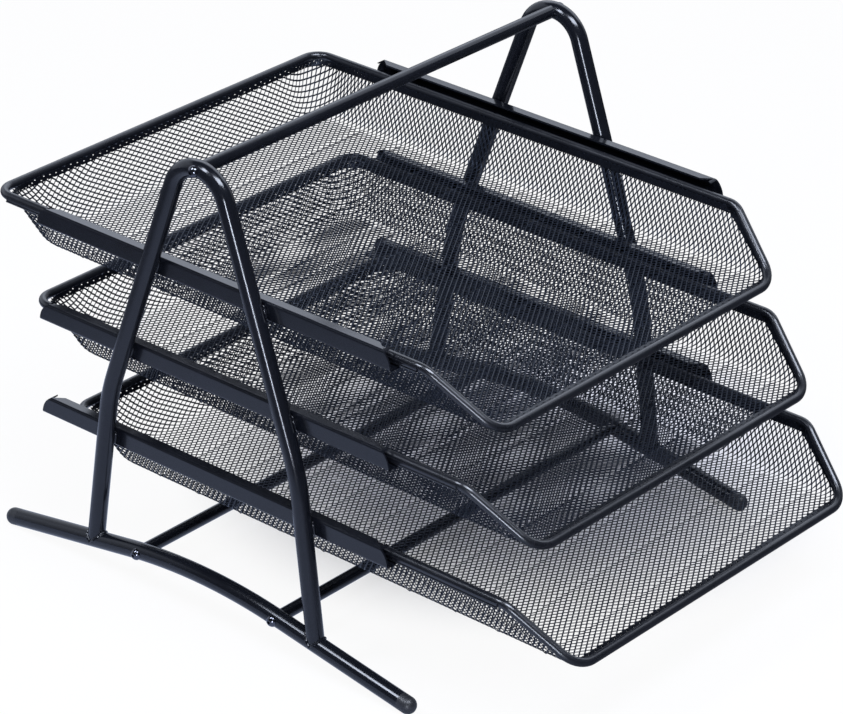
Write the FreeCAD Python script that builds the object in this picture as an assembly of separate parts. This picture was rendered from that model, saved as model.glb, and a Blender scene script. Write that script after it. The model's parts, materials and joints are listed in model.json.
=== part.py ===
import FreeCAD, Part
import math
import os

# Three-tier mesh letter tray: a stand of bent round tube with channel rails, and three sliding mesh trays.
# Millimetres. +Z is up, the open fronts of the trays face -Y, X runs across the stand.
# The origin lies on the desk under the middle of the whole object as it stands with its trays staggered.

os.makedirs("parts", exist_ok=True)

Vector = FreeCAD.Vector
AXIS_X = Vector(1, 0, 0)
AXIS_Y = Vector(0, 1, 0)
AXIS_Z = Vector(0, 0, 1)

# Stock
tube_diameter = 9.5
bar_diameter = 7.0
rim_wire_diameter = 4.8
rail_sheet = 1.0
strip_sheet = 0.8
mesh_sheet = 1.0

# Side frames, measured along their centre lines
handle_height = 257.5
crown_bend_radius = 19.0
leg_splay = 19.5
knee_height = 108.0
knee_bend_radius = 120.0
foot_spread = 158.4

# Runners
runner_span = 283.4
runner_arch_height = 23.5
runner_arch_radius = 325.0
cap_collar_length = 4.5
cap_plug_diameter = 7.0
cap_plug_length = 9.0
cap_plug_clearance = 0.15
cap_flat_depth = 0.3

# Cross bars at the base, from the middle of the stand
back_bar_offset = 45.2
front_bar_offset = 52.4

# Dome-head screws
screw_diameter = 3.5
screw_head_diameter = 6.4
screw_head_height = 2.2
screw_grip_in_bar = 10.0
screw_clearance = 0.2

# Trays, measured along the centre line of the rim wire
tray_width = 252.6
tray_length = 334.8
back_corner_radius = 10.0
lip_drop = 28.0
slant_run = 36.2
lip_inset = 14.1
slant_bend_radius = 12.0
front_corner_radius = 15.0
basket_depth = 29.0
wall_lean = 10.8
wall_inset = 1.5
basket_corner_radius = 10.0
basket_floor_radius = 7.5

# Openings of the baskets: a coarse grid for the fine expanded mesh, with as large a share of open area
mesh_columns = 9
mesh_rows = 12
mesh_rib = 6.5
mesh_border = 3.0
mesh_hem = 4.0

# Rails
rail_length = 245.0
rail_end_radius = 12.3
rail_bend_radius = 1.5
rail_headroom = 6.4
top_flange_overlap = 0.55
bottom_flange_overlap = 4.75
flange_corner_cut = 6.0
slide_clearance = 0.3
tray_side_play = 4.45
strip_overhang = 0.3
strip_cover = 3.4
strip_bend_radius = 1.1

# Tiers: height of each rim wire, and how far its back wire lies behind the middle of the stand
tier_names = ("bottom", "middle", "top")
tier_heights = {"top": 189.4, "middle": 133.8, "bottom": 78.0}
tier_backs = {"top": 161.2, "middle": 134.5, "bottom": 106.6}

tube_radius = tube_diameter / 2
bar_radius = bar_diameter / 2
runner_end_height = tube_radius - cap_flat_depth
wire_radius = rim_wire_diameter / 2
half_tray = tray_width / 2
strip_outer_x = half_tray + wire_radius + strip_sheet
rail_web_x = strip_outer_x + tray_side_play + rail_sheet
frame_x = rail_web_x + tube_radius
top_flange_width = rail_sheet + tray_side_play + top_flange_overlap
bottom_flange_width = rail_sheet + tray_side_play + bottom_flange_overlap

# The stand is set back so that the whole object is centred over the origin
object_back = tier_backs["top"] + wire_radius
object_front = tier_backs["bottom"] - tray_length - wire_radius
stand_y = -(object_back + object_front) / 2


def unit(vector):
    return Vector(vector).normalize()


def bend(before, corner, after, radius):
    """Give the start, the end and the centre of a bend of that radius between two straight runs."""
    to_before = unit(before - corner)
    to_after = unit(after - corner)
    half_angle = to_before.getAngle(to_after) / 2
    setback = radius / math.tan(half_angle)
    centre = corner + unit(to_before + to_after) * (radius / math.sin(half_angle))
    return corner + to_before * setback, corner + to_after * setback, centre


def open_bends(points, radii):
    """Bends at the inner points of an open path."""
    return [bend(points[i], points[i + 1], points[i + 2], radii[i]) for i in range(len(radii))]


def closed_bends(points, radii):
    """Bends at every point of a closed path."""
    count = len(points)
    return [bend(points[i - 1], points[i], points[(i + 1) % count], radii[i]) for i in range(count)]


def straight_bar(start, end, radius):
    run = end - start
    return Part.makeCylinder(radius, run.Length, start, run)


def bent_bar(start, end, centre, radius):
    """A quarter of a ring, more or less: the round section turned about the centre of the bend."""
    from_start = start - centre
    from_end = end - centre
    turn_axis = from_start.cross(from_end)
    travel = turn_axis.cross(from_start)
    section = Part.Face(Part.Wire(Part.makeCircle(radius, start, travel)))
    turn = math.degrees(from_start.getAngle(from_end))
    return section.revolve(centre, turn_axis, turn)


def fused(solids):
    """Join touching lengths into one clean solid."""
    return solids[0].multiFuse(solids[1:]).removeSplitter()


def open_bar(points, radii, radius):
    """A round bar along straight runs that are joined by bends."""
    bends = open_bends(points, radii)
    lengths = [bent_bar(start, end, centre, radius) for start, end, centre in bends]
    stops = [points[0]]
    for start, end, centre in bends:
        stops += [start, end]
    stops.append(points[-1])
    for i in range(0, len(stops), 2):
        lengths.append(straight_bar(stops[i], stops[i + 1], radius))
    return fused(lengths)


def closed_bar(points, radii, radius):
    """A round bar bent into a closed loop."""
    bends = closed_bends(points, radii)
    lengths = [bent_bar(start, end, centre, radius) for start, end, centre in bends]
    for i in range(len(bends)):
        lengths.append(straight_bar(bends[i - 1][1], bends[i][0], radius))
    return fused(lengths)


def mirrored(shape):
    """The same shape on the other side of the stand."""
    return shape.mirror(Vector(0, 0, 0), AXIS_X)


def stand_point(side_x, along, height):
    """A point given from the middle of the stand."""
    return Vector(side_x, stand_y + along, height)


# Runners

def runner_tangent():
    """Where the straight end of a runner meets its arched middle, as distance and height."""
    drop = runner_arch_radius - runner_arch_height + runner_end_height
    half_span = runner_span / 2
    reach = math.hypot(half_span, drop)
    lean = math.atan2(half_span, drop) - math.acos(runner_arch_radius / reach)
    along = runner_arch_radius * math.sin(lean)
    height = runner_arch_height - runner_arch_radius * (1 - math.cos(lean))
    return along, height


def runner_height(along):
    """Height of the runner's centre line at a distance from the middle."""
    tangent_along, tangent_height = runner_tangent()
    if abs(along) <= tangent_along:
        sagitta = runner_arch_radius - math.sqrt(runner_arch_radius ** 2 - along ** 2)
        return runner_arch_height - sagitta
    slope = (tangent_height - runner_end_height) / (runner_span / 2 - tangent_along)
    return tangent_height - slope * (abs(along) - tangent_along)


def runner_end_direction():
    """Direction in which the front end of a runner points."""
    tangent_along, tangent_height = runner_tangent()
    return unit(Vector(0, tangent_along - runner_span / 2, runner_end_height - tangent_height))


def runner_blank(side_x):
    """The arched bar of a runner, without its holes."""
    tangent_along, tangent_height = runner_tangent()
    direction = runner_end_direction()
    front_end = stand_point(side_x, -runner_span / 2, runner_end_height) - direction * cap_collar_length
    back_end = Vector(front_end.x, 2 * stand_y - front_end.y, front_end.z)
    front_tangent = stand_point(side_x, -tangent_along, tangent_height)
    back_tangent = stand_point(side_x, tangent_along, tangent_height)
    centre = stand_point(side_x, 0, runner_arch_height - runner_arch_radius)
    front_run = straight_bar(front_end, front_tangent, tube_radius)
    back_run = straight_bar(back_tangent, back_end, tube_radius)
    arch = bent_bar(front_tangent, back_tangent, centre, tube_radius)
    return fused([front_run, arch, back_run])


def end_cap(side_x):
    """The plug in the front end of a runner: a domed head with a collar, cut flat below, and a shank."""
    direction = runner_end_direction()
    dome_centre = stand_point(side_x, -runner_span / 2, runner_end_height)
    seat = dome_centre - direction * cap_collar_length
    collar = straight_bar(seat, dome_centre, tube_radius)
    dome = Part.makeSphere(tube_radius, dome_centre)
    shank = straight_bar(seat - direction * cap_plug_length, seat, cap_plug_diameter / 2)
    cap = fused([collar, dome, shank])
    below = Part.makeBox(tube_diameter * 2, tube_diameter * 2, tube_diameter)
    below.translate(Vector(side_x - tube_diameter, dome_centre.y - tube_diameter, -tube_diameter))
    return cap.cut(below)


def cap_bore(side_x):
    """The room that an end cap's shank needs in the front end of a runner."""
    direction = runner_end_direction()
    seat = stand_point(side_x, -runner_span / 2, runner_end_height) - direction * cap_collar_length
    bore_radius = cap_plug_diameter / 2 + cap_plug_clearance
    return straight_bar(seat - direction * (cap_plug_length + cap_plug_clearance), seat, bore_radius)


def turned_round(shape):
    """The same shape at the back of the stand."""
    return shape.mirror(Vector(0, stand_y, 0), AXIS_Y)


# Screws, drawn on the right-hand side of the stand

def screw_hole(along, height):
    """The hole that a screw needs through a tube and into a bar's end."""
    outer_x = frame_x + tube_diameter
    inner_x = frame_x - tube_radius - screw_grip_in_bar - screw_clearance
    radius = (screw_diameter + screw_clearance) / 2
    return straight_bar(stand_point(inner_x, along, height), stand_point(outer_x, along, height), radius)


def screw(along, height):
    """A dome-head screw whose head bears on the outside of the tube."""
    seat_x = frame_x + tube_radius
    tip_x = frame_x - tube_radius - screw_grip_in_bar
    shank = straight_bar(stand_point(tip_x, along, height), stand_point(seat_x, along, height), screw_diameter / 2)
    head_radius = screw_head_diameter / 2
    dome_radius = (head_radius ** 2 + screw_head_height ** 2) / (2 * screw_head_height)
    dome = Part.makeSphere(dome_radius, stand_point(seat_x + screw_head_height - dome_radius, along, height))
    head_room = straight_bar(
        stand_point(seat_x, along, height), stand_point(seat_x + tube_radius, along, height), head_radius
    )
    return fused([shank, dome.common(head_room)])


# Leg frames

def leg_frame_blank(side_x):
    """An inverted U of bent tube, whose feet still reach the centre line of the runner."""
    splay = math.radians(leg_splay)
    apex_height = handle_height - crown_bend_radius + crown_bend_radius / math.sin(splay)
    knee_along = (apex_height - knee_height) * math.tan(splay)
    foot_along = foot_spread / 2
    foot_height = runner_height(foot_along)
    points = [
        stand_point(side_x, -foot_along, foot_height),
        stand_point(side_x, -knee_along, knee_height),
        stand_point(side_x, 0, apex_height),
        stand_point(side_x, knee_along, knee_height),
        stand_point(side_x, foot_along, foot_height),
    ]
    return open_bar(points, [knee_bend_radius, crown_bend_radius, knee_bend_radius], tube_radius)


def cross_bar(along, height):
    """A straight bar from one side frame to the other, before its ends are fitted to the tubes."""
    return straight_bar(stand_point(-frame_x, along, height), stand_point(frame_x, along, height), bar_radius)


# Rails, drawn on the right-hand side of the stand

def rail_floor(tier):
    """Height of the face that the slide strip runs on."""
    return tier_heights[tier] - wire_radius - strip_overhang - slide_clearance


def rail_side_shape(bottom, top):
    """Side view of a rail: a straight length whose ends are rounded over towards the top."""
    half_length = rail_length / 2
    rise = top - bottom
    arc_centre = half_length - rail_end_radius
    middle_rise = rise / 2
    middle_along = arc_centre + math.sqrt(rail_end_radius ** 2 - middle_rise ** 2)
    top_along = arc_centre + math.sqrt(rail_end_radius ** 2 - rise ** 2)
    corners = [
        stand_point(0, -half_length, bottom),
        stand_point(0, half_length, bottom),
        stand_point(0, top_along, top),
        stand_point(0, -top_along, top),
    ]
    back_arc = Part.Arc(corners[1], stand_point(0, middle_along, bottom + middle_rise), corners[2])
    front_arc = Part.Arc(corners[3], stand_point(0, -middle_along, bottom + middle_rise), corners[0])
    edges = [
        Part.makeLine(corners[0], corners[1]),
        back_arc.toShape(),
        Part.makeLine(corners[2], corners[3]),
        front_arc.toShape(),
    ]
    outline = Part.Face(Part.Wire(edges))
    return outline.extrude(AXIS_X * frame_x), top_along


def rail(tier):
    """A channel bent from sheet: a web against the legs, a narrow top flange and a wide bottom flange."""
    bottom = rail_floor(tier) - rail_sheet
    top = tier_heights[tier] + rail_headroom
    start_y = stand_y - rail_length / 2
    outer = Part.makeBox(bottom_flange_width, rail_length, top - bottom)
    outer.translate(Vector(rail_web_x - bottom_flange_width, start_y, bottom))
    inner = Part.makeBox(bottom_flange_width, rail_length, top - bottom - 2 * rail_sheet)
    inner.translate(Vector(rail_web_x - bottom_flange_width - rail_sheet, start_y, bottom + rail_sheet))
    over = Part.makeBox(bottom_flange_width - top_flange_width, rail_length, 2 * rail_sheet)
    over.translate(Vector(rail_web_x - bottom_flange_width, start_y, top - rail_sheet))
    channel = outer.cut(inner).cut(over)
    channel = rounded_edges(channel, rail_web_x, (bottom, top), rail_bend_radius)
    inner_heights = (bottom + rail_sheet, top - rail_sheet)
    channel = rounded_edges(channel, rail_web_x - rail_sheet, inner_heights, rail_bend_radius - rail_sheet)
    side_shape, top_along = rail_side_shape(bottom, top)
    channel = channel.common(side_shape)
    for end in (-1, 1):
        channel = channel.cut(flange_corner(end * top_along, end, top))
    return channel


def rounded_edges(shape, edge_x, heights, radius):
    """Round the lengthwise edges of a channel that lie at one x and at the given heights."""
    tolerance = 0.01
    chosen = []
    for edge in shape.Edges:
        middle = edge.CenterOfMass
        at_height = any(abs(middle.z - height) < tolerance for height in heights)
        if abs(middle.x - edge_x) < tolerance and at_height and edge.Length > rail_length / 2:
            chosen.append(edge)
    return shape.makeFillet(radius, chosen)


def flange_corner(along, end, top):
    """The slanting cut at one end of a rail's top flange."""
    tip_x = rail_web_x - rail_bend_radius
    root_x = rail_web_x - top_flange_width
    height = top - 1.5 * rail_sheet
    corners = [
        stand_point(root_x, along, height),
        stand_point(tip_x, along, height),
        stand_point(root_x, along - end * flange_corner_cut, height),
    ]
    triangle = Part.Face(Part.makePolygon(corners + corners[:1]))
    return triangle.extrude(AXIS_Z * 2 * rail_sheet)


# Trays

def rim_points(tier):
    """Corners of the rim wire's centre line, from the left back corner round to the left slant."""
    back_y = stand_y + tier_backs[tier]
    lip_y = back_y - tray_length
    rim_z = tier_heights[tier]
    lip_x = half_tray - lip_inset
    return [
        Vector(-half_tray, back_y, rim_z),
        Vector(half_tray, back_y, rim_z),
        Vector(half_tray, lip_y + slant_run, rim_z),
        Vector(lip_x, lip_y, rim_z - lip_drop),
        Vector(-lip_x, lip_y, rim_z - lip_drop),
        Vector(-half_tray, lip_y + slant_run, rim_z),
    ]


def rim_radii():
    right_side = [back_corner_radius, slant_bend_radius, front_corner_radius]
    return [back_corner_radius] + right_side + right_side[:0:-1]


def rim_wire(tier):
    return closed_bar(rim_points(tier), rim_radii(), wire_radius)


def rim_plan(tier):
    """The area inside the rim wire's centre line, seen from above, as a tall block."""
    floor_z = tier_heights[tier] - 2 * basket_depth
    bends = closed_bends(rim_points(tier), rim_radii())
    edges = []
    for i, (start, end, centre) in enumerate(bends):
        apex = centre + unit((start + end) * 0.5 - centre) * (start - centre).Length
        plan = [Vector(p.x, p.y, floor_z) for p in (bends[i - 1][1], start, apex, end)]
        edges.append(Part.makeLine(plan[0], plan[1]))
        straight = unit(plan[1] - plan[0]).cross(unit(plan[3] - plan[1])).Length < 1e-6
        edges.append(Part.makeLine(plan[1], plan[3]) if straight else Part.Arc(*plan[1:]).toShape())
    return Part.Face(Part.Wire(edges)).extrude(AXIS_Z * 3 * basket_depth)


def basket_block(tier, inset, floor_z):
    """A block with leaning walls and rounded edges, open ended in front: the basket's outside or its inside."""
    rim_z = tier_heights[tier]
    lean = wall_lean * (rim_z - floor_z) / basket_depth
    half_top = half_tray - wall_inset - inset
    back_y = stand_y + tier_backs[tier] - wall_inset - inset
    front_y = back_y - tray_length
    across = [
        Vector(-half_top, front_y, rim_z),
        Vector(half_top, front_y, rim_z),
        Vector(half_top - lean, front_y, floor_z),
        Vector(lean - half_top, front_y, floor_z),
    ]
    along = [
        Vector(-half_top, front_y, rim_z),
        Vector(-half_top, back_y, rim_z),
        Vector(-half_top, back_y - lean, floor_z),
        Vector(-half_top, front_y, floor_z),
    ]
    cross_section = Part.Face(Part.makePolygon(across + across[:1])).extrude(AXIS_Y * tray_length)
    side_view = Part.Face(Part.makePolygon(along + along[:1])).extrude(AXIS_X * 2 * half_top)
    block = cross_section.common(side_view)
    corners = [edge for edge in block.Edges if is_back_corner(edge, front_y)]
    block = block.makeFillet(basket_corner_radius - inset, corners)
    floor_edges = [edge for edge in block.Edges if is_floor_edge(edge, front_y, floor_z)]
    return block.makeFillet(basket_floor_radius - inset, floor_edges)


def is_back_corner(edge, front_y):
    """Whether an edge of a basket block rises where a side wall meets the back wall."""
    box = edge.BoundBox
    return box.ZLength > basket_depth / 2 and box.YMin > front_y + tray_length / 2


def is_floor_edge(edge, front_y, floor_z):
    """Whether an edge of a basket block runs round its floor, apart from the open front."""
    tolerance = 0.01
    box = edge.BoundBox
    return box.ZMax < floor_z + tolerance and box.YMax > front_y + tolerance


def slanted_front(tier):
    """Everything above and in front of the plane that holds both slants and the lip."""
    lip_y = stand_y + tier_backs[tier] - tray_length
    rim_z = tier_heights[tier]
    slope = Vector(0, slant_run, lip_drop)
    start = Vector(0, lip_y, rim_z - lip_drop)
    low = start - slope
    high = start + slope * 3
    corners = [low, high, Vector(0, low.y - slant_run, high.z), Vector(0, low.y - slant_run, low.z)]
    side = Part.Face(Part.makePolygon(corners + corners[:1]))
    side.translate(AXIS_X * -tray_width)
    return side.extrude(AXIS_X * 2 * tray_width)


def spread(low, high, count):
    """Where each of some openings in a row starts, with a rib between each two, and how long it is."""
    length = (high - low - (count - 1) * mesh_rib) / count
    return [low + i * (length + mesh_rib) for i in range(count)], length


def box_at(corner, length, width, height):
    return Part.makeBox(length, width, height, corner)


def mesh_openings(tier):
    """The grid of openings through the floor, the back wall and both side walls of a basket."""
    wall_angle = math.atan2(basket_depth, wall_lean)
    bend_reach = basket_floor_radius * math.tan(wall_angle / 2)
    rim_z = tier_heights[tier]
    floor_z = rim_z - basket_depth
    back_y = stand_y + tier_backs[tier]
    lip_y = back_y - tray_length
    flat_half_width = half_tray - wall_inset - wall_lean - bend_reach - mesh_border
    flat_back = back_y - wall_inset - wall_lean - bend_reach - mesh_border
    flat_front = lip_y + wire_radius + mesh_border
    columns, column_width = spread(-flat_half_width, flat_half_width, mesh_columns)
    rows, row_length = spread(flat_front, flat_back, mesh_rows)
    low = floor_z + bend_reach * math.sin(wall_angle) + mesh_border
    height = rim_z - wire_radius - mesh_hem - low
    openings = []
    for x in columns:
        for y in rows:
            openings.append(box_at(Vector(x, y, floor_z - mesh_sheet), column_width, row_length, 3 * mesh_sheet))
        openings.append(box_at(Vector(x, flat_back, low), column_width, basket_depth, height))
    for y in rows:
        if y > lip_y + slant_run:
            openings.append(box_at(Vector(-half_tray, y, low), tray_width, row_length, height))
    return openings


def mesh_basket(tier, wire):
    """The mesh sheet drawn to a floor, a back wall and two side walls, trimmed to the rim wire."""
    floor_z = tier_heights[tier] - basket_depth
    outside = basket_block(tier, 0, floor_z)
    inside = basket_block(tier, mesh_sheet, floor_z + mesh_sheet)
    basket = outside.cut(inside)
    basket = basket.common(rim_plan(tier))
    basket = basket.cut(slanted_front(tier))
    basket = basket.cut(wire)
    basket = basket.cut(mesh_openings(tier))
    pieces = sorted(basket.Solids, key=lambda solid: solid.Volume)
    return pieces[-1]


def slide_strip(tier):
    """Angle strip folded over the straight side of the rim wire, drawn on the right-hand side."""
    back_y = stand_y + tier_backs[tier]
    end_y = back_y - back_corner_radius
    start_y = back_y - tray_length + slant_run + slant_bend_radius / 2
    top = tier_heights[tier] + wire_radius + strip_sheet
    bottom = tier_heights[tier] - wire_radius - strip_overhang
    outer = Part.makeBox(strip_cover, end_y - start_y, top - bottom)
    outer.translate(Vector(strip_outer_x - strip_cover, start_y, bottom))
    inner = Part.makeBox(strip_cover, end_y - start_y, top - bottom)
    inner.translate(Vector(strip_outer_x - strip_cover - strip_sheet, start_y, bottom - strip_sheet))
    strip = outer.cut(inner)
    return rounded_edges(strip, strip_outer_x, (top,), strip_bend_radius)


def save(shape, name):
    shape.exportStep("parts/" + name + ".step")
    print(name, "valid" if shape.isValid() else "NOT VALID", "solids", len(shape.Solids), "volume", round(shape.Volume))


def build_frame():
    bar_places = {"front_base_bar": -front_bar_offset, "back_base_bar": back_bar_offset}
    runner = runner_blank(frame_x)
    legs = leg_frame_blank(frame_x).cut(runner)
    handle = cross_bar(0, handle_height)
    legs_pair = [legs, mirrored(legs)]
    handle = handle.cut(legs_pair)
    handle_hole = screw_hole(0, handle_height)
    save(handle.cut([handle_hole, mirrored(handle_hole)]), "handle_bar")
    legs = legs.cut(handle_hole)
    save(legs, "right_leg_frame")
    save(mirrored(legs), "left_leg_frame")

    runner_pair = [runner, mirrored(runner)]
    base_screws = []
    for name, along in bar_places.items():
        height = runner_height(along)
        hole = screw_hole(along, height)
        bar = cross_bar(along, height).cut(runner_pair)
        save(bar.cut([hole, mirrored(hole)]), name)
        runner = runner.cut(hole)
        base_screws += [screw(along, height), mirrored(screw(along, height))]
    bore = cap_bore(frame_x)
    runner = runner.cut([bore, turned_round(bore)])
    save(runner, "right_runner")
    save(mirrored(runner), "left_runner")

    cap = end_cap(frame_x)
    save(cap, "right_front_end_cap")
    save(turned_round(cap), "right_back_end_cap")
    save(mirrored(cap), "left_front_end_cap")
    save(turned_round(mirrored(cap)), "left_back_end_cap")

    handle_screw = screw(0, handle_height)
    save(Part.makeCompound([handle_screw, mirrored(handle_screw)]), "handle_screws")
    save(Part.makeCompound(base_screws), "base_bar_screws")


def build_tier(tier):
    right_rail = rail(tier)
    save(right_rail, tier + "_right_rail")
    save(mirrored(right_rail), tier + "_left_rail")
    wire = rim_wire(tier)
    save(wire, tier + "_tray_rim_wire")
    save(mesh_basket(tier, wire), tier + "_tray_mesh_basket")
    strip = slide_strip(tier)
    save(strip, tier + "_tray_right_slide_strip")
    save(mirrored(strip), tier + "_tray_left_slide_strip")


build_frame()
for tier_name in tier_names:
    build_tier(tier_name)
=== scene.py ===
"""Looks of the three-tier mesh letter tray, built in metres on its CAD frame."""

import json
import logging
import math
from dataclasses import dataclass, replace
from enum import Enum
from typing import Any, Mapping, Optional

import bmesh
import bpy
import numpy as np
from mathutils import Matrix, Vector

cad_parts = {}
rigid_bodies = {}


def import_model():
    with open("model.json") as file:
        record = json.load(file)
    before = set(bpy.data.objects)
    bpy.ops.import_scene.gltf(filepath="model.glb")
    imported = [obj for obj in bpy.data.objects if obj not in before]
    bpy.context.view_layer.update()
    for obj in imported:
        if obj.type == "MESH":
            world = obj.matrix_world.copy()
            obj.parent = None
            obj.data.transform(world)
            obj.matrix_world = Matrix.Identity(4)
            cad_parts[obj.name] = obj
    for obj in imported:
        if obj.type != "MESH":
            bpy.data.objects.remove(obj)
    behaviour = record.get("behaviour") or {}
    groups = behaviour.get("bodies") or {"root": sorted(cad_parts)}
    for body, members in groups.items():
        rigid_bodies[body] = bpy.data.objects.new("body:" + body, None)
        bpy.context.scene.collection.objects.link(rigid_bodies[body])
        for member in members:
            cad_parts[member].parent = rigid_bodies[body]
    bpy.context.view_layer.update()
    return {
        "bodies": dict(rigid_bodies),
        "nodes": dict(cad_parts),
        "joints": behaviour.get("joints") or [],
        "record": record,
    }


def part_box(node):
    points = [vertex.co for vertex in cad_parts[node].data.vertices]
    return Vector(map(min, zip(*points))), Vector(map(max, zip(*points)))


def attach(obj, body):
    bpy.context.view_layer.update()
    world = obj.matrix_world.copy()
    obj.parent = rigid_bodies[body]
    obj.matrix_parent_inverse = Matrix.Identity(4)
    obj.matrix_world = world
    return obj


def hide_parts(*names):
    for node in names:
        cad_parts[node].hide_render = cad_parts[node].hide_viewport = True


LOG = logging.getLogger("letter_tray")
MM = 0.001
Colour = tuple[float, float, float, float]

# The radius of the rim wires in the CAD, in millimetres.
WIRE_RADIUS = 2.4
# Smooth pieces keep a crease where their faces meet at more than this many degrees.
SHARP_ANGLE = 40.0
# Nearly all of a noise texture's values lie between these two.
NOISE_LOW, NOISE_HIGH = 0.3, 0.7
# Points nearer than this many millimetres are one point, such as where a turned shape closes.
SAME_POINT = 0.001
# A length in millimetres that is added so that nothing is divided by zero.
TINY = 1e-6


class Tier(Enum):
    """The three trays, by the name that their CAD nodes start with."""

    BOTTOM = "bottom"
    MIDDLE = "middle"
    TOP = "top"


class Side(Enum):
    """The two sides of the stand, with the sign of X on each."""

    LEFT = -1
    RIGHT = 1

    @property
    def word(self) -> str:
        """Give the side's name as the CAD nodes spell it."""
        return self.name.lower()


def linear(code: str) -> Colour:
    """Turn an sRGB hex colour into the linear colour that a shader takes.

    Args:
        code: The colour as "#rrggbb".

    Returns:
        Linear red, green and blue, and an alpha of one.
    """
    parts = [int(code[i:i + 2], 16) / 255 for i in (1, 3, 5)]
    red, green, blue = [p / 12.92 if p <= 0.04045 else ((p + 0.055) / 1.055) ** 2.4 for p in parts]
    return red, green, blue, 1.0


def add_node(
    tree: bpy.types.NodeTree,
    kind: str,
    settings: Optional[Mapping[Any, Any]] = None,
    links: Optional[Mapping[Any, bpy.types.NodeSocket]] = None,
) -> bpy.types.Node:
    """Add one shader node with its settings and its incoming links.

    Args:
        tree: The node tree that takes the node.
        kind: The node's type, such as "ShaderNodeBump".
        settings: Values by input name or number, or by the node's own property name.
        links: Sockets to read from, by input name or number.

    Returns:
        The new node.
    """
    node = tree.nodes.new(kind)
    for key, value in (settings or {}).items():
        if isinstance(key, str) and hasattr(node, key):
            setattr(node, key, value)
        else:
            node.inputs[key].default_value = value
    for key, socket in (links or {}).items():
        tree.links.new(socket, node.inputs[key])
    return node


def new_material(name: str) -> tuple[bpy.types.Material, bpy.types.NodeTree]:
    """Start an empty node-based material.

    Args:
        name: The finish's name.

    Returns:
        The material and its cleared node tree.
    """
    material = bpy.data.materials.new(name)
    material.use_nodes = True
    material.node_tree.nodes.clear()
    return material, material.node_tree


@dataclass(frozen=True)
class Finish:
    """A surface finish, whose material is built once and worn by every piece that names it."""

    name: str

    def material(self) -> bpy.types.Material:
        """Build the finish once and give the same material after that.

        Returns:
            The node-based material.
        """
        if self.name in bpy.data.materials:
            return bpy.data.materials[self.name]
        material, tree = new_material(self.name)
        place = add_node(tree, "ShaderNodeTexCoord").outputs["Object"]
        shader = self.shader(tree, place)
        add_node(tree, "ShaderNodeOutputMaterial", links={"Surface": shader.outputs[0]})
        return material

    def shader(self, tree: bpy.types.NodeTree, place: bpy.types.NodeSocket) -> bpy.types.Node:
        """Build this finish's own nodes.

        Args:
            tree: The node tree that takes them.
            place: The place on the object.

        Returns:
            The shader node.
        """
        raise NotImplementedError


@dataclass(frozen=True)
class PowderCoat(Finish):
    """Epoxy powder baked on steel.

    It gives a deep black skin, with a fine orange-peel ripple that softens its gloss and slow
    patches where the film is thicker or thinner.
    """

    name: str = "black_powder_coat_semi_gloss"
    colour: str = "#090a0e"
    paler: str = "#111319"
    sheen_tint: str = "#f0f1f5"
    specular: float = 0.5
    roughness: float = 0.18
    uneven: float = 0.04
    grain_mm: float = 0.9
    grain_height_mm: float = 0.004
    patch_mm: float = 22.0

    def shader(self, tree: bpy.types.NodeTree, place: bpy.types.NodeSocket) -> bpy.types.Node:
        """Build this finish's own nodes.

        Args:
            tree: The node tree that takes them.
            place: The place on the object.

        Returns:
            The shader node.
        """
        ripple = add_node(
            tree, "ShaderNodeTexNoise",
            {"Scale": 1 / (self.grain_mm * MM), "Detail": 2.0, "Roughness": 0.55}, {"Vector": place},
        )
        patches = add_node(
            tree, "ShaderNodeTexNoise",
            {"Scale": 1 / (self.patch_mm * MM), "Detail": 3.0, "Roughness": 0.6}, {"Vector": place},
        )
        shade = add_node(
            tree, "ShaderNodeMix", {"data_type": "RGBA", 6: linear(self.colour), 7: linear(self.paler)},
            {0: patches.outputs["Fac"]},
        )
        gloss = add_node(
            tree, "ShaderNodeMapRange",
            {"From Min": NOISE_LOW, "From Max": NOISE_HIGH,
             "To Min": self.roughness - self.uneven, "To Max": self.roughness + self.uneven},
            {"Value": patches.outputs["Fac"]},
        )
        bump = add_node(
            tree, "ShaderNodeBump", {"Strength": 1.0, "Distance": self.grain_height_mm * MM},
            {"Height": ripple.outputs["Fac"]},
        )
        return add_node(
            tree, "ShaderNodeBsdfPrincipled",
            {"IOR": 1.5, "Specular IOR Level": self.specular,
             "Specular Tint": linear(self.sheen_tint)},
            {"Base Color": shade.outputs[2], "Roughness": gloss.outputs[0],
             "Normal": bump.outputs[0]},
        )


@dataclass(frozen=True)
class MouldedPlastic(Finish):
    """Injection-moulded polyethylene: matt from the grain of its mould, so highlights stay broad."""

    name: str = "moulded_black_polyethylene"
    colour: str = "#1b1c20"
    roughness: float = 0.42
    smoother: float = 0.05
    rougher: float = 0.08
    # Such a grain is about 0.1 mm wide; it is drawn coarser, because that wouldn't show.
    grain_mm: float = 0.5
    grain_height_mm: float = 0.02

    def shader(self, tree: bpy.types.NodeTree, place: bpy.types.NodeSocket) -> bpy.types.Node:
        """Build this finish's own nodes.

        Args:
            tree: The node tree that takes them.
            place: The place on the object.

        Returns:
            The shader node.
        """
        grain = add_node(
            tree, "ShaderNodeTexVoronoi",
            {"Scale": 1 / (self.grain_mm * MM), "feature": "SMOOTH_F1"}, {"Vector": place},
        )
        worn = add_node(
            tree, "ShaderNodeMapRange",
            {"From Min": 0.0, "From Max": 1.0, "To Min": self.roughness - self.smoother,
             "To Max": self.roughness + self.rougher},
            {"Value": grain.outputs["Distance"]},
        )
        bump = add_node(
            tree, "ShaderNodeBump", {"Strength": 1.0, "Distance": self.grain_height_mm * MM},
            {"Height": grain.outputs["Distance"]},
        )
        return add_node(
            tree, "ShaderNodeBsdfPrincipled", {"Base Color": linear(self.colour), "IOR": 1.5},
            {"Roughness": worn.outputs[0], "Normal": bump.outputs[0]},
        )


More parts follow.
